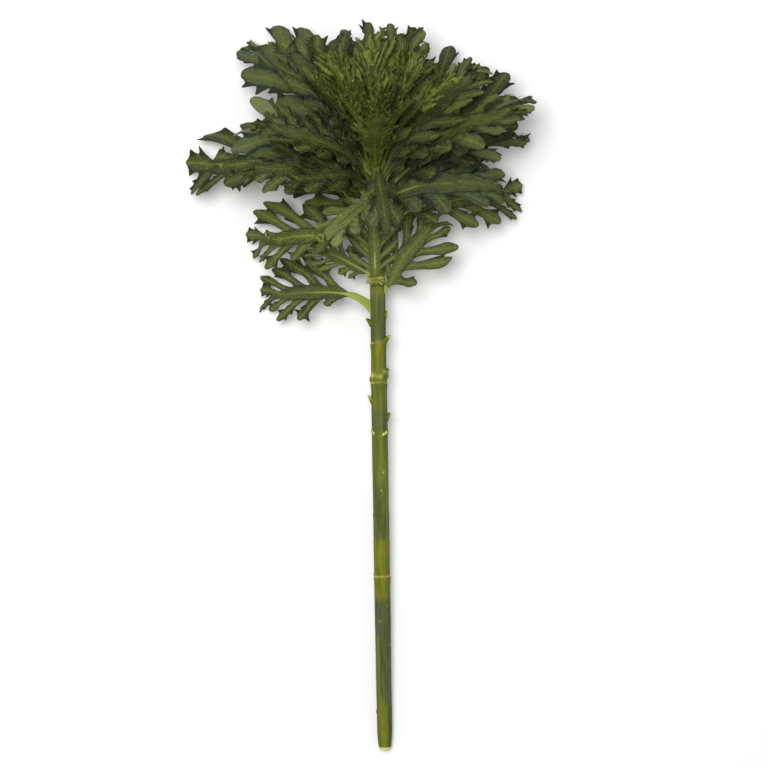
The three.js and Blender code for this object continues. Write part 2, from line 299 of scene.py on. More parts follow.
# The lobe at a leaf's tip, as shares of its length. Its teeth always grow.
TIP_ROWS = [(0.14, 0.2), (0.3, 0.2), (0.46, 0.26), (0.62, 0.28), (0.76, 0.24), (0.9, 0.16)]
TIP_TEETH = [(0, 1, 0.42, 0.44), (2, 1, 0.74, 0.5), (4, 1, 0.98, 0.36)]
LEVEL_TIP_TEETH = [(0, 2, 0.5, 0.5), (3, 2, 0.84, 0.4)]
TIP_END = 0.06

LOBE_BASE = 0.36  # half of a lobe's base, as a share of the pitch from lobe to lobe
LEFT_BEHIND = 0.03  # how far the margins of a row trail its middle
SIDE_TOOTH_RIB = 0.42  # a tooth's vein, as a share of a lobe's
PALE_TONE = 1.1
CURLS_BACK = 0.8  # below this cosine the midrib turns away from the way the leaf goes
LEAF_SO_FAR = 0.7  # where the way a leaf goes is measured from, as a share of the distance to a spot
MIDRIB_SHARE = 0.97


def pull(mesh, row, places):
    """Extrudes a chain of vertices to new places and returns the new chain."""
    edges = [mesh.edges.get((a, b)) for a, b in zip(row, row[1:])]
    fresh = set(bmesh.ops.extrude_edge_only(mesh, edges=edges)["geom"])
    new_row = []
    for vert, place in zip(row, places):
        (twin,) = neighbours(vert) & fresh
        twin.co = place
        new_row.append(twin)
    return new_row


class Blade:
    """The cage of one leaf's blade, and the lines its veins follow."""

    def __init__(self, form, looks, seed):
        self.form, self.looks = form, looks
        self.dice = random.Random(seed)
        self.mesh = bmesh.new()
        self.layers = [self.mesh.verts.layers.float.new(n) for n in ("across", "side", "run", "tone_and_shade")]
        out = (form.midrib(form.length) - form.midrib(0)).normalized()
        self.tone_and_shade = looks["tone_and_shade"] + self.dice.uniform(0.2, 0.85)
        # painted shade: darker when the leaf leans out in front instead of up the head
        self.tone_and_shade -= looks["front_shade"] * ease((0.8 - out.y) / 0.5)
        self.drift = Vector([self.dice.uniform(-9, 9) for _ in range(3)])
        lobes = looks["lobes"] or form.lobes
        pitch = (form.last - form.first) / (lobes - 1)
        self.foot = looks["foot"] * form.start
        lowest = self.foot + 0.85 * pitch
        self.first = min(form.first, max(lowest, mix(form.start, form.first, looks["bare"])))
        self.levelled = looks["level"] < 1
        last = form.last
        while self.levelled and last > 0.6 * form.length:  # stop short of a tip that curls back
            if form.forward(last + LOBE_BASE * pitch).dot(self.onward(last)) > CURLS_BACK:
                break
            last -= 0.01 * form.length
        self.count = round((last - self.first) / pitch) + 1
        self.pitch = (last - self.first) / (self.count - 1)
        self.veins = []
        self.midrib_end = form.length * MIDRIB_SHARE
        self.spine()
        bmesh.ops.recalc_face_normals(self.mesh, faces=self.mesh.faces)
        beside = [(s, face) for s, row in self.spine_rows for face in row[1].link_faces]
        if sum(face.normal.dot(form.normal(s)) * face.calc_area() for s, face in beside) < 0:
            bmesh.ops.reverse_faces(self.mesh, faces=self.mesh.faces)

    def onward(self, s):
        """The way the leaf has been going up to a distance along its midrib."""
        return (self.form.midrib(s) - self.form.midrib(LEAF_SO_FAR * s)).normalized()

    def mark(self, verts, across, side, run, tone_and_shade):
        """Writes what the finish needs: distance from a vein, share of it, distance out, and a tone that
        holds painted shade.
        """
        # painted shade: the leaf is darker towards its foot, deep in the head
        tone_and_shade -= self.looks["deep"] * (1 - ease(1.6 * run / self.form.length))
        for vert, a, s in zip(verts, across, side):
            for layer, value in zip(self.layers, (a / MM, s, run / MM, tone_and_shade)):
                vert[layer] = value

    def grow(self, row, spots, across, side, run, tone_and_shade):
        row = pull(self.mesh, row, spots)
        self.mark(row, across, side, run, tone_and_shade)
        return row

    def tooth(self, history, column, start, span, tip, slack, eased, wide, run, tone_and_shade, veined):
        """Grows a tooth from a lobe's edge. Slack is how blunt its outer corner is next to the inner."""
        base = [row[column] for row in history[start : start + span + 1]]
        neck = [base[0].co.copy(), base[-1].co.copy()]
        middle = (neck[0] + neck[1]) / 2
        blunt = self.looks["blunt"]
        ends = [tip.lerp(neck[0], blunt), tip.lerp(neck[1], blunt * slack)]
        if span == 2:
            ends.insert(1, tip + (tip - middle) * 0.12)
        if eased:
            ends = [self.settle(e) for e in ends]
        self.grow(base, ends, [wide] * len(ends), [1] * len(ends), run, tone_and_shade)
        if veined:
            root = history[start][1].co.copy()
            line = [root, root.lerp(middle, 0.7), middle.lerp(tip, 0.6)]
            self.veins.append((line, self.looks["rib"] * SIDE_TOOTH_RIB))

    def sway(self, place):
        """The slow waves of a leaf that isn't quite flat."""
        away = ease((place - self.form.midrib(0)).length / (60 * MM))
        return self.looks["wave"] * away * noise(place * 32 + self.drift)

    def settle(self, place):
        """Eases a spot up from the table."""
        depth = (place.z - LOWEST) / CUSHION
        if depth < 1:
            place.z = LOWEST + CUSHION * exp(depth - 1)
        return place

    def web_at(self, s, side):
        """The edge of the narrow wing that runs along the midrib between lobes."""
        form = self.form
        reach = form.reach(side, s).length
        grown = ease((s - self.foot) / (self.pitch * 0.8))
        wing = max(self.looks["web"] * reach, self.looks["wing"])
        share = mix(form.petiole * 0.8, wing, grown) / reach
        spot = form.point(s - 0.2 * self.pitch * grown, side, share)
        return self.settle(spot + form.normal(s) * (0.4 * MM * grown + self.sway(spot)))

    def spine(self):
        """The strip along the midrib, with the lobes that grow from both of its edges."""
        form, count, pitch = self.form, self.count, self.pitch
        begin = self.first - pitch * 0.62
        stations = [self.foot, mix(self.foot, begin, 0.5), begin]
        for k in range(count):
            centre = self.first + k * pitch
            stations += [centre + part * pitch for part in (-LOBE_BASE, 0, LOBE_BASE, 0.5)]
        stations.pop()
        verts = [self.mesh.verts.new(p) for p in self.row_at(stations[0])]
        for a, b in zip(verts, verts[1:]):
            self.mesh.edges.new((a, b))
        rows = [verts]
        for s in stations[1:]:
            rows.append(pull(self.mesh, rows[-1], self.row_at(s)))
        self.spine_rows = list(zip(stations, rows))
        for s, row in self.spine_rows:
            widths = [(row[1].co - v.co).length for v in row]
            self.mark(row, widths, [min(1, w / (6 * MM)) for w in widths], s, self.tone_and_shade)
        for k in range(count):
            for side in (0, 1):
                edge = [row[2 * side] for row in rows[3 + 4 * k : 6 + 4 * k]]
                self.lobe(self.first + k * pitch, side, edge, k / (count - 1))
        self.tip_lobe(rows[-1], stations[-1])

    def row_at(self, s):
        middle = self.form.midrib(s)
        middle += self.form.normal(s) * (self.sway(middle) - 0.3 * MM)
        return [self.web_at(s, 0), self.settle(middle), self.web_at(s, 1)]

    def lobe(self, centre, side, row, station):
        form, looks, dice, pitch = self.form, self.looks, self.dice, self.pitch
        reach = form.reach(side, centre)
        size = reach.length
        way_out, normal = reach.normalized(), form.normal(centre)
        stretch = dice.uniform(*looks["stretch"])
        if way_out.y < -0.3:  # towards the cut end
            stretch *= mix(looks["lower"], 0.9, station)
        droop = dice.uniform(*looks["droop"]) * size
        roll = dice.uniform(-1, 1) * looks["roll"]
        sway = dice.uniform(-0.22, 0.22) * pitch
        ripple = dice.uniform(0, TURN)
        tone_and_shade = self.tone_and_shade + dice.uniform(-0.34, 0.34)
        if ripple < TURN * looks["pale"]:
            tone_and_shade += PALE_TONE
        outline, web = looks["outline"], looks["web"]

        def room(share):
            low, high = (form.point(centre + way * pitch / 2, side, share) for way in (-1, 1))
            return (high - low - way_out * (high - low).dot(way_out)).length

        crosswise = reach.cross(normal).normalized()
        if crosswise.dot(form.forward(centre)) < 0:
            crosswise = -crosswise

        def place(share, width):
            """A spot on the lobe: width is from -1 to 1, towards the leaf's tip."""
            share = mix(web, 1, share) * mix(1, stretch, ease(share))
            s = centre - 0.2 * pitch * (1 - share) ** 2 + (sway + looks["sweep"] * pitch) * share * share
            half = width * room(max(0.45, min(1, share)))
            spot = form.point(s, side, share)
            near = form.point(s + width * pitch, side, share)
            far = spot + crosswise * half
            spot = near.lerp(far, ease((share - web) / (0.3 * (1 - web))))
            lift = droop * share * share + looks["fold"] * abs(half) + roll * half * share
            lift += looks["ripple"] * sin(ripple + 9 * share + 2.5 * width) * min(1, 2 * abs(width))
            return self.settle(spot + normal * (lift + self.sway(spot)))

        midline = [form.midrib(centre - 0.3 * pitch), place(0.02, 0)]
        history = []
        for share, width in zip(LOBE_ROWS, outline["widths"]):
            lean = dice.uniform(0.88, 1.12)
            behind = share - LEFT_BEHIND
            spots = [place(behind, -width * lean), place(share, 0), place(behind, width / lean)]
            halves = [room(share) * width * w for w in (lean, 0, 1 / lean)]
            row = self.grow(row, spots, halves, (1, 0, 1), centre + share * size, tone_and_shade)
            history.append(row)
            midline.append(row[1].co.copy())
        share, width = outline["end"]
        spots = [place(share, -width), place(share + 0.02, 0), place(share, width)]
        half = room(1) * width
        row = self.grow(row, spots, (half, 0, half), (1, 0.6, 1), centre + share * size, tone_and_shade)
        midline.append(row[1].co.copy())
        self.veins.append((midline, looks["rib"] * (0.55 + 0.45 * min(1, size / (30 * MM)))))
        for start, span, out, wide, chance in outline["teeth"]:
            for way, column in ((-1, 0), (1, 2)):
                if dice.random() > chance:
                    continue
                grown = dice.uniform(0.72, 1.16)
                out_here = out + dice.uniform(-0.05, 0.05)
                tip = place(out_here, way * wide * grown)
                tip += normal * dice.uniform(-1, 1) * looks["tooth_curl"]
                told = (room(1) * wide, centre + out * size, tone_and_shade, outline is FINGERS)
                self.tooth(history, column, start, span, tip, 0.7, True, *told)

    def tip_lobe(self, row, s):
        form, looks, dice = self.form, self.looks, self.dice
        end = form.length + looks["tip_past"]
        size = end - s
        normal = form.normal(s)
        bend = dice.uniform(*looks["droop"]) * size
        outwards = [form.outward(side, s) for side in (0, 1)]
        if self.levelled:  # the tip of a leaf that lies on the table goes on the way the leaf did
            before = LEAF_SO_FAR * s
            ahead = self.onward(s)
            ahead.z *= looks["level"]
            ahead.normalize()
            normal = UP if form.normal(before).z > 0 else -UP
            aside = ahead.cross(normal).normalized()
            if aside.dot(form.outward(0, before) - form.outward(1, before)) < 0:
                aside = -aside
            outwards = [aside, -aside]

        def place(t, width):
            """A spot on the lobe: width is below 0 on the first side and above it on the other."""
            spot = form.midrib(s) + ahead * (t * size) if self.levelled else form.midrib(s + t * size)
            spot = spot + outwards[0 if width < 0 else 1] * abs(width) * size
            lift = bend * t * t + looks["fold"] * abs(width) * size + self.sway(spot)
            return self.settle(spot + normal * lift)

        history = []
        midline = [row[1].co.copy()]
        for t, width in TIP_ROWS:
            width *= looks["tip_width"]
            spots = [place(t - LEFT_BEHIND, -width), place(t, 0), place(t - LEFT_BEHIND, width)]
            half = width * size
            row = self.grow(row, spots, (half, 0, half), (1, 0, 1), s + t * size, self.tone_and_shade)
            history.append(row)
            midline.append(row[1].co.copy())
        spots, half = [place(0.99, -TIP_END), place(1.02, 0), place(0.99, TIP_END)], 0.05 * size
        self.grow(row, spots, (half, 0, half), (1, 0.6, 1), end, self.tone_and_shade)
        for start, span, out, wide in LEVEL_TIP_TEETH if self.levelled else TIP_TEETH:
            for way, column in ((-1, 0), (1, 2)):
                tip = place(out, way * wide * looks["tip_width"] * dice.uniform(0.85, 1.1))
                told = (wide * size, s + out * size, self.tone_and_shade, True)
                self.tooth(history, column, start, span, tip, 0.8, False, *told)
        if self.levelled:
            self.midrib_end = s
            self.veins.append((midline, looks["midrib"] * midrib_fade(form, s)))


# ---- Veins, petioles and the stalk are grids rolled up into tubes ----
def rolled_tube(mesh, sides, rows, place):
    """Adds a closed tube and returns its vertices; place(angle, row) gives them, row from 0 to 1."""
    verts = bmesh.ops.create_grid(mesh, x_segments=sides, y_segments=rows, size=0.5)["verts"]
    for vert in verts:
        vert.co = place(TURN * (vert.co.x + 0.5), vert.co.y + 0.5)
    bmesh.ops.remove_doubles(mesh, verts=verts, dist=0.001 * MM)
    verts = [v for v in verts if v.is_valid]
    # these are dicts and not sets, so that their order is the same in every run
    rims = dict.fromkeys(e for v in verts for e in v.link_edges if e.is_boundary)
    bmesh.ops.holes_fill(mesh, edges=list(rims), sides=0)
    faces = list(dict.fromkeys(f for v in verts for f in v.link_faces))
    bmesh.ops.recalc_face_normals(mesh, faces=faces)
    for face in faces:
        face.smooth = True
    return verts


def vein_tube(mesh, line, radius, normal):
    """A vein half sunk in the blade, which tapers along the line."""
    last = len(line) - 1
    path = smooth_through(range(last + 1), line)

    def place(angle, row):
        s = row * last
        along = (path(s + 0.1) - path(s - 0.1)).normalized()
        aside = along.cross(normal).normalized()
        above = aside.cross(along)
        thick = radius * mix(1, 0.22, row)
        centre = path(s) - above * thick * 0.35
        return centre + aside * thick * cos(angle) + above * thick * sin(angle)

    return rolled_tube(mesh, 5, 3 * last // 2, place)


def midrib_fade(form, s):
    """How much of its width the midrib keeps at a distance along it."""
    return 1 - 0.86 * ease((s - form.start) / (MIDRIB_SHARE * form.length - form.start)) ** 0.8


FOOT_REACH = 1.3 * MM  # how far a petiole's foot goes on into the stalk
FLARED = 15 * MM  # it flares over this length
SWEPT = 20 * MM  # and is bent towards the stalk over this one


def midrib_tube(mesh, form, looks, end):
    """The petiole and the midrib it becomes. Its foot spreads over the stalk's skin."""
    inwards = (form.midrib(0) - form.midrib(1.5 * MM)).normalized()

    def place(angle, row):
        s = (row ** 1.15) * end
        forward = form.forward(max(s, 1.6 * MM))
        normal = form.normal(s)
        aside = forward.cross(normal).normalized()
        up = aside.cross(forward)
        blade = ease((s - 0.5 * form.start) / (0.9 * form.start))
        fade = midrib_fade(form, s)
        wide = mix(form.petiole * looks["stout"], looks["midrib"] * fade, blade)
        deep = mix(form.depth * 1.05, looks["midrib"] * 0.95 * fade, blade)
        flare = (1 - ease(s / FLARED)) ** 2
        wide *= 1 + 0.9 * flare
        deep *= 1 + 0.35 * flare
        x, y = cos(angle), sin(angle)
        groove = 0.45 * (1 - blade) * max(0, y) ** 3
        centre = form.midrib(s) - up * deep * (0.42 * blade)
        spot = centre + aside * wide * x + up * deep * (y - groove)
        if s < 0.1 * MM:
            spot += inwards * FOOT_REACH
        near_foot = (1 - ease(s / SWEPT)) ** 2
        spot.y -= looks["swept"] * near_foot
        core = STALK.middle(min(spot.y, STALK.tip))
        spot = spot.lerp(core, looks["sunk"] * near_foot)
        spot.z = max(spot.z, 0.25 * MM)
        return spot

    return rolled_tube(mesh, 12, 34, place)


# ---- Finishes ----
def srgb(red, green, blue):
    def linear(c):
        c /= 255
        return c / 12.92 if c <= 0.04045 else ((c + 0.055) / 1.055) ** 2.4

    return (linear(red), linear(green), linear(blue), 1)


class Finish:
    """A material under construction, from a colour that tints are laid over. Nodes are added by kind,
    and inputs are numbers or sockets."""

    def __init__(self, name, colour):
        self.colour = colour
        self.material = bpy.data.materials.new(name)
        self.material.use_nodes = True
        self.tree = self.material.node_tree
        self.shader = self.tree.nodes["Principled BSDF"]

    def add(self, kind, inputs=None, **settings):
        node = self.tree.nodes.new("ShaderNode" + kind)
        for key, value in settings.items():
            setattr(node, key, value)
        for key, value in (inputs or {}).items():
            self.feed(node.inputs[key], value)
        return node

    def feed(self, socket, value):
        if isinstance(value, bpy.types.NodeSocket):
            self.tree.links.new(value, socket)
        else:
            socket.default_value = value

    def math(self, operation, *values):
        return self.add("Math", dict(enumerate(values)), operation=operation).outputs[0]

    def total(self, *parts):
        """The sum of inputs, each given with its weight."""
        terms = [v if weight == 1 else self.math("MULTIPLY", v, weight) for v, weight in parts]
        return functools.reduce(lambda a, b: self.math("ADD", a, b), terms)

    def between(self, value, low, high, to_low=0, to_high=1):
        """Value mapped smoothly from low..high to to_low..to_high."""
        inputs = {"Value": value, "From Min": low, "From Max": high, "To Min": to_low, "To Max": to_high}
        return self.add("MapRange", inputs, interpolation_type="SMOOTHSTEP").outputs["Result"]

    def blend(self, amount, first, second):
        return self.add("Mix", {0: amount, 6: first, 7: second}, data_type="RGBA").outputs[2]

    def over(self, tint, share, *span):
        """Lays a tint over the colour so far, by a share or by a value mapped through a span."""
        self.colour = self.blend(self.between(share, *span) if span else share, self.colour, tint)

    def noise(self, where, scale, detail=3, roughness=0.55):
        inputs = {"Vector": where, "Scale": scale, "Detail": detail, "Roughness": roughness}
        return self.add("TexNoise", inputs).outputs["Fac"]

    def attribute(self, name):
        return self.add("Attribute", attribute_name=name).outputs["Fac"]

    def shade(self, **values):
        """Feeds the shader's own inputs."""
        for key, value in values.items():
            self.feed(self.shader.inputs[key.replace("_", " ")], value)

    def skin(self, roughness, relief, specular):
        """Completes the material, from roughness with its span and relief with its size and strength."""
        relief = dict(zip(("Height", "Distance", "Strength"), relief))
        self.shade(
            Base_Color=self.colour,
            Roughness=self.between(*roughness),
            Normal=self.add("Bump", relief).outputs["Normal"],
            Specular_IOR_Level=specular,
        )
        return self.material


def leaf_finish(name, greens, vein_show, under):
    """A leaf's face or, under, its paler underside, where the veins stand out."""
    dark, light, warm, vein, bloom, edge = [srgb(*green) for green in greens]
    made = Finish(name, dark)
    where = made.add("TexCoord").outputs["Object"]
    across, side, run, tone_and_shade = map(made.attribute, ("across", "side", "run", "tone_and_shade"))
    patches = made.noise(where, 42, 3)
    blotches = made.noise(where, 120, 2, 0.5)
    mottle = made.noise(where, 300, 4, 0.6)
    level = made.total((patches, 0.8), (mottle, 0.6), (blotches, 0.9), (tone_and_shade, 0.9))
    made.over(light, level, 1.3, 1.9)
    # yellower towards the middle of a lobe, greyer and darker towards its margin
    made.over(warm, made.total((side, 1), (mottle, 1.1)), 0.4, 1.3, 0.42, 0)
    made.over(bloom, made.total((made.noise(where, 34, 2), 1), (side, 0.22)), 0.5, 0.85, 0, 0.7)
    # the fine net of veinlets
    wobble = made.add("TexNoise", {"Vector": where, "Scale": 220, "Detail": 2}).outputs["Color"]
    bent = {0: wobble, 1: (0.0022, 0.0022, 0.0022), 2: where}
    bent = made.add("VectorMath", bent, operation="MULTIPLY_ADD").outputs[0]
    net = made.add("TexVoronoi", {"Vector": bent, "Scale": 430}, feature="DISTANCE_TO_EDGE")
    net = made.between(net.outputs["Distance"], 0, 0.13, 1, 0)
    # side veins that leave the lobe's vein at a slant
    slant = made.total((run, 1), (across, -0.9), (made.noise(where, 160, 1), 1.6))
    stripes = made.math("PINGPONG", made.math("DIVIDE", slant, 3.1), 0.5)
    branch = made.between(stripes, 0, 0.1, 1, 0)
    branch = made.math("MULTIPLY", branch, made.between(side, 0.25, 1, 0.8, 0))
    main = made.between(across, 0.16, 0.5, 1, 0)
    lines = made.math("MAXIMUM", made.math("MULTIPLY", net, 0.3), made.math("MULTIPLY", branch, 0.75))
    lines = made.math("MAXIMUM", lines, made.math("MULTIPLY", main, 0.55))
    made.over(vein, made.math("MULTIPLY", lines, vein_show))
    # small pale flecks: painted glints
    made.over(vein, made.noise(where, 640, 2), 0.6, 0.72, 0, 0.4)
    # darker leaves sink towards the edge green: random tone, and painted shade near the foot and in
    # front
    made.over(edge, tone_and_shade, -0.9, 0.15, 0.8, 0)
    made.over(vein, tone_and_shade, 1, 1.7, 0, 0.5)
    made.over(edge, side, 0.8, 1, 0, 0.7)
    cells = {"Vector": bent, "Scale": 300, "Smoothness": 0.6}
    cells = made.add("TexVoronoi", cells, feature="SMOOTH_F1")
    swell, raised, rough = (0.7, 0.8, 0.56) if under else (-1, -0.5, 0.46)
    height = made.total((cells.outputs["Distance"], swell), (lines, raised), (mottle, 0.5))
    return made.skin((mottle, 0.3, 0.7, rough, 0.66), (height, 0.0013, 0.85), 0.1)


def rib_finish(name, pale, green):
    """Petiole, midrib and veins, from the pale foot to the green ends."""
    made = Finish(name, pale)
    where = made.add("TexCoord").outputs["Object"]
    patches = made.noise(where, 130, 3)
    made.over(green, made.total((made.attribute("fade"), 1), (patches, 0.5)), 0.35, 1.25)
    relief = (made.noise(where, 900, 2), 0.0002, 0.4)
    return made.skin((patches, 0.3, 0.7, 0.4, 0.55), relief, 0.14)


# The greens of each group's faces and undersides are dark, light, warm, vein, bloom and edge, which is
# also the painted shade; those of its ribs come last.
GREENS = {
    "low": [
        [(34, 40, 14), (72, 80, 33), (103, 111, 40), (138, 144, 86), (58, 66, 43), (21, 26, 11)],
        [(72, 82, 29), (108, 117, 46), (121, 129, 46), (145, 151, 80), (98, 107, 66), (50, 59, 23)],
        [(128, 139, 58), (80, 90, 41)],
    ],
    "outer": [
        [(34, 41, 21), (69, 77, 44), (93, 100, 42), (125, 130, 84), (61, 69, 60), (21, 26, 14)],
        [(66, 75, 29), (99, 107, 46), (111, 118, 46), (135, 140, 76), (93, 100, 67), (47, 55, 23)],
        [(106, 113, 52), (66, 74, 38)],
    ],
    "inner": [
        [(39, 46, 17), (80, 87, 40), (101, 107, 40), (129, 134, 80), (70, 78, 57), (26, 31, 11)],
        [(66, 76, 25), (99, 108, 42), (111, 119, 44), (135, 141, 71), (89, 99, 62), (50, 58, 21)],
        [(76, 84, 34), (68, 76, 34)],
    ],
    "heart": [
        [(45, 53, 15), (101, 110, 39), (122, 130, 42), (136, 142, 70), (79, 88, 54), (41, 49, 13)],
        [(67, 76, 24), (107, 115, 45), (122, 129, 47), (141, 147, 74), (94, 103, 61), (54, 61, 19)],
        [(75, 84, 25), (89, 97, 33)],
    ],
}
finishes = {}
for group, (face, underside, rib) in GREENS.items():
    finishes[group] = [
        leaf_finish(group + "_leaf_face", face, vein_show=0.7, under=False),
        leaf_finish(group + "_leaf_underside", underside, vein_show=0.85, under=True),
        rib_finish(group + "_leaf_ribs", *[srgb(*green) for green in rib]),
    ]

# ---- Every leaf ----
# What sets the kinds of leaf apart, with the lengths in millimetres.
LENGTHS = "swept wing frill wave ripple tooth_curl rib midrib tip_past thick".split()
COMMON = dict(
    lobes=0,  # on each side; 0 takes as many as the solid has
    foot=0.25, bare=0.1,  # where the blade starts, and how much of the petiole has no lobes
    stout=1.02, sunk=0.1, swept=0,  # the petiole's thickness, and how its foot is drawn into the stalk
    tone_and_shade=0, deep=0, front_shade=0, pale=0,  # lightness, darker by painted shade near the foot and in front, and pale lobes
    lower=1,  # the length of the lobes that point to the cut end
    tip_past=2, tip_width=1, level=1,  # the tip lobe, which lies level where this is below 1
    thick=0.5, crinkle=150, fold=0.16, sweep=0.2, roll=0.3, rib=0.22,
)
LOOKS = {
    "low": dict(
        COMMON, group="low", outline=FINGERS, lobes=5, foot=0.8, bare=1, stout=1.5, sunk=0.45, swept=9,
        tone_and_shade=-0.05, lower=0.56, wing=0, web=0.24, sweep=0.35, stretch=(0.9, 1.24), droop=(-0.1, 0.06),
        frill=0.6, wave=2, ripple=0.9, tooth_curl=1.4, blunt=0.44, rib=0.34, midrib=1.2, tip_past=-5,
        tip_width=1.3, level=0.25,
    ),
    "outer": dict(
        COMMON, group="outer", outline=PADDLES, foot=0.35, bare=0.45, deep=0.45, pale=0.08, lower=0.98,
        wing=5.5, web=0.46, sweep=0.15, stretch=(1, 1.2), droop=(-0.08, 0.12), frill=0.9, wave=3.2,
        roll=0.35, ripple=1.3, tooth_curl=1.8, blunt=0.55, midrib=1.1,
    ),
    "middle": dict(
        COMMON, group="inner", outline=PADDLES, lobes=6, deep=0.75, front_shade=0.1, pale=0.08,
        lower=0.95, wing=6.5, web=0.42, stretch=(0.9, 1.14), droop=(-0.08, 0.14), frill=1.5,
        crinkle=170, wave=3.2, roll=0.4, fold=0.2, ripple=1.5, tooth_curl=2, blunt=0.5, midrib=1,
        thick=0.45,
    ),
    "front": dict(
        COMMON, group="inner", outline=PADDLES, bare=0.5, sunk=0.3, tone_and_shade=-0.5, deep=0.2,
        front_shade=0.35, wing=6.5, web=0.42, stretch=(0.9, 1.1), droop=(-0.1, 0.1), frill=1.2,
        crinkle=170, wave=2.4, ripple=1, tooth_curl=1.6, blunt=0.46, rib=0.33, midrib=0.9, thick=0.45,
    ),
    "heart": dict(
        COMMON, group="heart", outline=FRINGES, lobes=8, foot=0.2, sunk=0, deep=1.15, front_shade=1,
        wing=6, web=0.28, sweep=0.35, stretch=(0.85, 1.25), droop=(-0.14, 0.2), frill=1.5, crinkle=220,
        wave=2.2, roll=0.7, fold=0.25, ripple=1.4, tooth_curl=1.8, blunt=0.25, rib=0.28, midrib=0.7,
        tip_width=1.1, thick=0.38,
    ),
}
LOOKS["pale_front"] = dict(LOOKS["front"], tone_and_shade=0.6, front_shade=0, deep=0)
LOOKS["long"] = dict(LOOKS["low"], lower=0.66, swept=0, sunk=0.2)
LOOKS["reaching"] = dict(LOOKS["long"], outline=PADDLES, stretch=(1.1, 1.3), web=0.34, lower=0.25,
                         tip_past=-7, tip_width=1.4, level=0.1)
LOOKS["small"] = dict(LOOKS["low"], bare=0.35, foot=0.25, wing=5, web=0.3, lower=0.8, swept=2, stout=1.1,
                      tone_and_shade=0.15, stretch=(1.1, 1.35))
LOOKS["short"] = dict(LOOKS["outer"], stretch=(0.85, 1), tip_past=-7)
LOOKS["wide"] = dict(LOOKS["outer"], stretch=(1.25, 1.45), lower=1.05)
for looks in LOOKS.values():
    for key in LENGTHS:
        looks[key] *= MM
OWN_LOOKS = {
    "front_leaf_3": "pale_front", "outer_leaf_1": "reaching", "outer_leaf_2": "short",
    "outer_leaf_9": "wide", "low_right_leaf": "long", "low_left_small_leaf": "small",
    "low_front_leaf": "small", "low_right_small_leaf": "small",
}


def frill(mesh, form, looks, drift):
    """Crinkles the margins of a blade."""
    side = mesh.verts.layers.float["side"]
    normal = form.normal(form.length * 0.6)
    across = form.forward(form.length * 0.6).cross(normal)
    for vert in mesh.verts:
        loose = ease((vert[side] - 0.45) / 0.55)
        if loose > 0:
            spot = vert.co * looks["crinkle"] + drift
            lift = noise(spot) * 1.4 + noise(spot * 2.3) * 0.5
            vert.co += normal * (lift * loose * looks["frill"])
            vert.co += across * (noise(spot * 1.7 + drift) * loose * looks["frill"] * 0.5)
            vert.co.z = max(vert.co.z, SKIN_LOWEST)


def rounded_blade(node, blade, looks):
    """The blade's cage smoothed and given its thickness."""
    for face in blade.mesh.faces:
        face.smooth = True
    cage = finished_mesh(node + "_blade", blade.mesh, finishes[looks["group"]])
    rough = add_object(node + "_blade", cage)
    rounded = rough.modifiers.new("rounded", "SUBSURF")
    rounded.levels = rounded.render_levels = 2
    thick = rough.modifiers.new("thick", "SOLIDIFY")
    thick.thickness = looks["thick"]
    thick.offset = 0
    thick.material_offset = thick.material_offset_rim = 1
    evaluated = rough.evaluated_get(bpy.context.evaluated_depsgraph_get())
    mesh = bmesh.new()
    mesh.from_mesh(evaluated.to_mesh())
    evaluated.to_mesh_clear()
    bpy.data.objects.remove(rough)
    return mesh


def ribs_of(blade, looks):
    """Petiole, midrib and veins. Their fade is 0 at the foot and 1 at the ends."""
    form, ribs = blade.form, bmesh.new()
    fade = ribs.verts.layers.float.new("fade")
    for vert in midrib_tube(ribs, form, looks, blade.midrib_end):
        vert[fade] = (vert.co - form.midrib(0)).length / form.length
    for line, radius in blade.veins:
        begin, end = line[0], line[-1]
        normal = form.normal(form.length * min(1, (begin - form.midrib(0)).length / form.length))
        for vert in vein_tube(ribs, line, radius, normal):
            travelled = (vert.co - begin).length / (end - begin).length
            vert[fade] = 0.35 + 0.65 * min(1, travelled)
    for vert in ribs.verts:
        vert.co.z = max(vert.co.z, SKIN_LOWEST)
    for face in ribs.faces:
        face.material_index = 2
    return ribs


def finished_leaf(node):
    kind = node.split("_")[0]
    looks = LOOKS[OWN_LOOKS.get(node, kind)]
    form = LeafForm(node)
    blade = Blade(form, looks, node)
    mesh = rounded_blade(node, blade, looks)
    frill(mesh, form, looks, blade.drift)
    mesh.verts.layers.float.new("fade")
    mesh.from_mesh(finished_mesh(node + "_ribs", ribs_of(blade, looks)))
    piece = add_object(node + "_grown", finished_mesh(node, mesh, finishes[looks["group"]], 60))
    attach(piece, "root")
    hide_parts(node)


for node in sorted(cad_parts):
    if node != "stalk":
        finished_leaf(node)

# ---- The stalk ----
# Along the stalk from its cut end, in millimetres, for its whole length of 511.
JOINTS = [  # where, how far the lower length stands out, how deeply the joint dips at the top
    (146, 0.45, 0.4), (177, 0.16, -1.6), (200, 0.3, 1), (267, 0.5, -4.5), (308, 0.5, 0.8),
    (341, 0.55, 1.2),
]
# where, dip, width, strength
SCARS = [(146, 0.4, 0.55, 0.3), (308, 0.8, 0.5, 0.22), (341, 1.2, 0.5, 0.25)]
KNOBS = [  # where, angle from the top in degrees, height, length
    (314, -40, 1.9, 4.6), (313, 10, 1.5, 4.4), (317, 44, 1.3, 3.8), (315, 86, 2, 4.4),
    (311, -80, 1.7, 4), (233, 24, 0.4, 1.6), (218, 5, 0.35, 1.4), (216, 16, 0.4, 1.3),
    (121, 40, 0.35, 1.5), (108, -22, 0.3, 1.6), (124, -60, 0.35, 1.8), (88, 60, 0.3, 2),
    (32, -92, 0.7, 1.8), (147, -96, 0.7, 1.6),
]


def past_line(at, where, dip, angle):
    """How far past a line that rings the stalk and dips at the top, in millimetres."""
    return at - (where + dip * (cos(angle) - 0.4))


def turn_between(angle, other):
    return (angle - other + pi) % TURN - pi


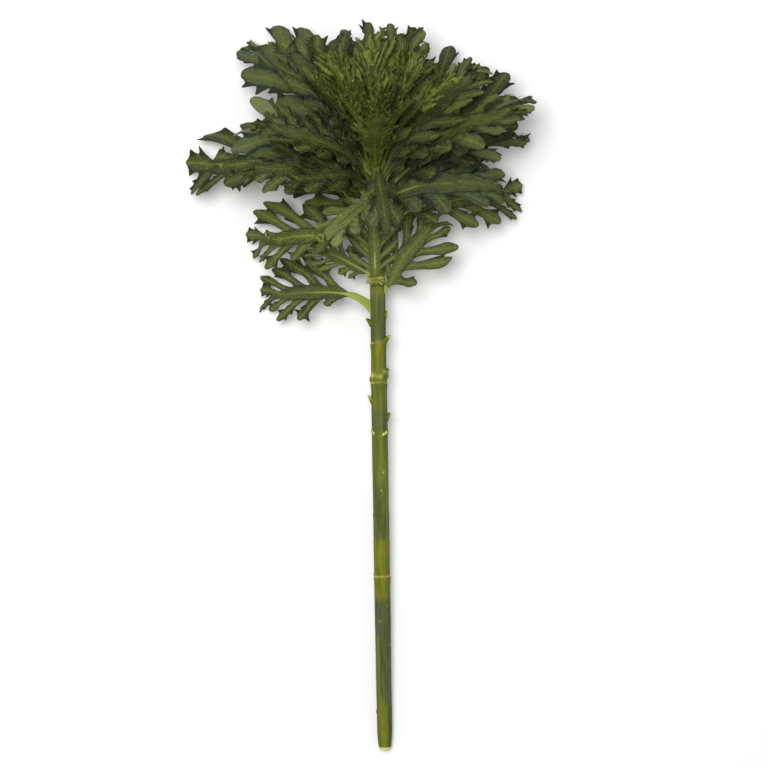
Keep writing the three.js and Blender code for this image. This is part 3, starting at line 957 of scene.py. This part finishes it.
def stalk_relief(at, angle, radius):
    """How far the skin stands out, in millimetres."""
    ring = Vector((cos(angle), sin(angle), 0)) * 1.1
    relief = 0.09 * sin(5 * angle + 0.7 * sin(at * 0.021))
    relief += 0.05 * sin(9 * angle + 0.013 * at)
    relief += 0.16 * noise(ring + Vector((0, 0, at * 0.022)))
    relief += 0.12 * noise(ring * 2.4 + Vector((3, 0, at * 0.11)))
    for joint, proud, dip in JOINTS:
        past = past_line(at, joint, dip, angle) - 0.5 * noise(ring * 3 + Vector((joint, 0, 0)))
        if past < 0:
            relief += proud * ease(1 + past / 9) ** 2
        relief -= 0.42 * exp(-((past - 0.3) / 0.75) ** 2)
    for place, turned, height, length in KNOBS:
        around = turn_between(angle, radians(turned)) * radius / MM
        off = hypot((at - place) / length, around / (length * 0.85))
        if off < 1.6:
            relief += height * exp(-2.2 * off**2.6)
    return relief


def band(value, low, high, soft):
    return ease((value - low) / soft + 0.5) * (1 - ease((value - high) / soft + 0.5))


def stalk_tints(at, angle):
    """How much grey bloom, yellow ripeness and pale scar the skin has there. Some bloom and less
    ripeness on the right side are painted shade, and some scar on the left side and knobs painted
    highlight.
    """
    turned = degrees(turn_between(angle, 0))
    waver = 10 * noise(Vector((turned * 0.02, at * 0.02, 4)))
    streak = noise(Vector((turned * 0.11, at * 0.012, 9)))
    low_sides = max(ease((turned - 20) / 22), 0.45 * ease((-turned - 40) / 26))
    bloom = max(
        # the bloom thins out on the left side low down, towards the lamp: partly painted light
        band(at + waver, 42, 126, 9) * (1 if at > 95 else mix(0.25, 1, ease((turned + 38) / 26))),
        0.55 * band(at + waver, 180, 206, 10),
        0.35 * band(at, 206, 226, 12),
        0.6 * band(at, 268, 286, 8),
        0.7 * band(at, 344, 380, 6),
        # greyer on the right side, away from the lamp: partly bloom, partly painted shade
        0.5 * ease((turned - 40) / 30) * band(at, -20, 330, 8),
        low_sides * band(at + waver, -20, 50, 10),
    )
    ripe = max(
        band(at + 0.3 * waver, 127, 178, 4),
        # less yellow on the right side, away from the lamp: painted shade
        0.95 * band(at, 308, 341, 3) * (1 - 0.6 * ease((turned - 15) / 25)),
        band(at + waver, -20, 46, 14) * band(turned, -30, 22, 22),
        band(at + waver, 46, 94, 10) * band(turned, -80, -30, 16) * 0.8,
    )
    scar = 0
    for joint, dip, width, strength in SCARS:
        # scars paler on the left side, towards the lamp: partly painted highlight
        strength *= 1 + 1.2 * ease((-turned - 20) / 40) + streak
        scar = max(scar, strength * exp(-((past_line(at, joint, dip, angle)) / width) ** 2))
    crack = past_line(at, 267, -4.5, angle)
    split = max(band(turned, -78, -44, 12), band(turned, 20, 70, 12))
    scar = max(scar, 1.6 * exp(-((crack - 0.4) / 0.7) ** 2) * split)
    # pale tops of the knobs: partly scar, partly painted highlight
    for place, turn, _, length in KNOBS:
        off = hypot((at - place - 0.5) / length, (turned - turn) * 0.11 / length)
        scar = max(scar, mix(0.15, 0.6, ease(0.5 + streak)) * exp(-7 * off * off))
    return min(1, bloom * (0.8 + 0.7 * streak)), min(1, ripe * (0.85 + 0.5 * streak)), min(1, scar)


def stalk_finish():
    made = Finish("stalk_skin", srgb(69, 75, 18))
    where = made.add("TexCoord").outputs["Object"]
    stretched = made.add("Mapping", {"Vector": where, "Scale": (620, 14, 620)}).outputs["Vector"]
    fibres = made.noise(stretched, 1, 4, 0.6)
    wide = made.add("Mapping", {"Vector": where, "Scale": (150, 9, 150)}).outputs["Vector"]
    stripes = made.noise(wide, 1, 3)
    blotches = made.noise(where, 95, 4, 0.6)
    made.over(srgb(98, 104, 32), made.total((stripes, 0.6), (fibres, 0.4)), 0.36, 0.64)
    fine = made.between(fibres, 0.35, 0.65)
    ripe = made.math("MULTIPLY", made.attribute("ripe"), made.between(blotches, 0.3, 0.6, 0.65, 1))
    made.over(made.blend(fine, srgb(85, 92, 9), srgb(112, 114, 18)), ripe)
    bloom = made.math("MULTIPLY", made.attribute("bloom"), made.between(stripes, 0.3, 0.6, 0.6, 1))
    made.over(made.blend(fine, srgb(44, 52, 34), srgb(68, 76, 57)), bloom)
    made.over(srgb(138, 143, 65), made.noise(where, 900, 2), 0.66, 0.74, 0, 0.35)
    scar = made.math("MULTIPLY", made.attribute("scar"), made.between(blotches, 0.3, 0.55, 0.7, 1))
    made.over(srgb(218, 219, 126), scar)
    relief = (made.total((fibres, 1), (blotches, 0.7)), 0.0004, 0.5)
    return made.skin((blotches, 0.3, 0.7, 0.5, 0.66), relief, 0.14)


def curled_bud(mesh, at, turned, wide, tall):
    """Adds a tight, frilly bud that sits on the stalk's skin and returns its vertices."""
    y = STALK.foot + at * MM
    out, along = STALK.out(y, radians(turned)), STALK.along(y)
    aside = along.cross(out)
    centre = STALK.middle(y) + out * (STALK.radius(y) + 0.25 * tall)

    def place(angle, row):
        lean = pi * row
        way = Vector((sin(lean) * cos(angle), sin(lean) * sin(angle), -cos(lean)))
        crease = abs(noise(way * 3.1 + Vector((at, 0, 0)))) + 0.5 * abs(noise(way * 7))
        size = 0.72 + 1.1 * crease
        return centre + (aside * way.x * wide + along * way.y * tall + out * way.z * tall * 0.8) * size

    return rolled_tube(mesh, 64, 34, place)


ROWS, SIDES = 470, 44
# the cut end, from its middle outwards: distance along the stalk and share of the radius
ROUNDING = [(0.8, 0.3), (0.3, 0.6), (0, 0.74), (0.35, 0.84), (1.2, 0.91), (2.4, 0.96), (4, 1)]


def stalk_skin(angle, row):
    length = (STALK.tip - STALK.foot) / MM
    k = round(row * ROWS)
    if k < len(ROUNDING):
        at, share = ROUNDING[k]
    else:
        at = mix(4, length, (k - len(ROUNDING) + 1) / (ROWS - len(ROUNDING) + 1))
        share = mix(1, 0.5, ease((at - length + 3) / 3) ** 2)
    y = STALK.foot + at * MM
    radius = STALK.radius(y) * (1 - 0.16 * (1 - ease(at / 14)))
    out = radius * share + stalk_relief(at, angle, radius) * MM * ease(at / 2)
    spot = STALK.middle(y) + STALK.out(y, angle) * out
    spot.z = max(spot.z, 0)
    return spot


def trimmed_stub(mesh, tip):
    """Adds what is left of a trimmed leaf, torn at its tip, and returns its vertices."""
    offset = tip - STALK.middle(tip.y)
    angle, reach = atan2(offset.x, offset.z), offset.length
    deep = STALK.radius(tip.y) * 0.75
    low = tip.y - 5.5 * MM
    line = [
        STALK.middle(low) + STALK.out(low, angle) * deep,
        STALK.middle(low + 2.5 * MM) + STALK.out(low, angle) * mix(deep, reach, 0.5),
        tip - STALK.along(tip.y) * 0.8 * MM,
    ]
    path = smooth_through([0, 1, 2], line)
    aside = STALK.along(tip.y).cross(STALK.out(tip.y, angle))

    def place(spin, row):
        s = 2 * row
        along = (path(s + 0.1) - path(s - 0.1)).normalized()
        above = aside.cross(along)
        torn = 1 + 0.16 * sin(5 * spin) * row
        wide, thin = mix(4.6, 2.7, row) * MM * torn, mix(3.2, 0.9, row**0.8) * MM * torn
        return path(s) + aside * wide * cos(spin) + above * thin * sin(spin)

    return rolled_tube(mesh, 14, 8, place)


def grown_stalk():
    mesh = bmesh.new()
    bloom, ripe, scar = (mesh.verts.layers.float.new(name) for name in ("bloom", "ripe", "scar"))
    for vert in rolled_tube(mesh, SIDES, ROWS, stalk_skin):
        offset = vert.co - STALK.middle(vert.co.y)
        tints = stalk_tints((vert.co.y - STALK.foot) / MM, atan2(offset.x, offset.z))
        if offset.length < 0.8 * STALK.radius(vert.co.y) and vert.co.y < STALK.foot + 2 * MM:
            tints = (0, 0.5, 0.75)  # the cut face
        vert[bloom], vert[ripe], vert[scar] = tints
    for tip in STALK.stubs:
        height = STALK.stands_out(tip) / MM
        for vert in trimmed_stub(mesh, tip):
            vert[ripe] = 0.6
            vert[scar] = 0.5 * ease((STALK.stands_out(vert.co) / MM - height + 1.2) / 1.4)
    for vert in curled_bud(mesh, 394, -6, 5.8 * MM, 3.9 * MM):
        proud = STALK.stands_out(vert.co) / MM
        # greyer low down between the folds, painted shade; paler on the highest crests, painted
        # highlight
        vert[bloom] = 0.7 * (1 - ease((proud - 1) / 3))
        vert[ripe] = 0.55
        vert[scar] = 0.3 * ease((proud - 3) / 3)
    piece = add_object("stalk_grown", finished_mesh("stalk", mesh, [stalk_finish()], 70))
    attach(piece, "root")
    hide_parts("stalk")


grown_stalk()

# ---- Table, light and camera ----
table_mesh = bmesh.new()
bmesh.ops.create_grid(table_mesh, x_segments=1, y_segments=1, size=4)
table_finish = Finish("table_white", srgb(221, 221, 221))
table_finish.shade(Base_Color=table_finish.colour, Roughness=0.75)
table = add_object("table", finished_mesh("table", table_mesh, [table_finish.material]))

scene = bpy.context.scene
scene.view_settings.view_transform = "Standard"
scene.world = world = bpy.data.worlds.new("studio")
world.use_nodes = True
dome = world.node_tree.nodes["Background"].inputs
dome["Color"].default_value = (1, 1, 1, 1)
dome["Strength"].default_value = 0.62

LAMP_PLACE, LAMP_AIM = Vector((-0.28, 0.34, 2.15)), Vector((0, 0.05, 0))
light = bpy.data.lights.new("key", "AREA")
light.shape = "DISK"
light.size = 1.1
light.energy = 46
lamp = add_object("key", light)
lamp.location = LAMP_PLACE
lamp.rotation_mode = "QUATERNION"
lamp.rotation_quaternion = (LAMP_AIM - LAMP_PLACE).to_track_quat("-Z", "Y")

VIEW_WIDTH = 0.648  # what the camera takes in at table level
VIEW_DISTANCE = 2.2
ASIDE, AHEAD = 0.0042, 0.3071  # the view's middle, from the stalk's middle and its cut end
TILT = -0.9  # degrees
stalk_low, stalk_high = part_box("stalk")
camera_data = bpy.data.cameras.new("camera")
camera_data.sensor_width = 36
camera_data.lens = camera_data.sensor_width * VIEW_DISTANCE / VIEW_WIDTH
camera = add_object("camera", camera_data)
camera.location = ((stalk_low.x + stalk_high.x) / 2 + ASIDE, cad_low.y + AHEAD, VIEW_DISTANCE)
camera.rotation_euler = (0, 0, radians(TILT))
scene.camera = camera
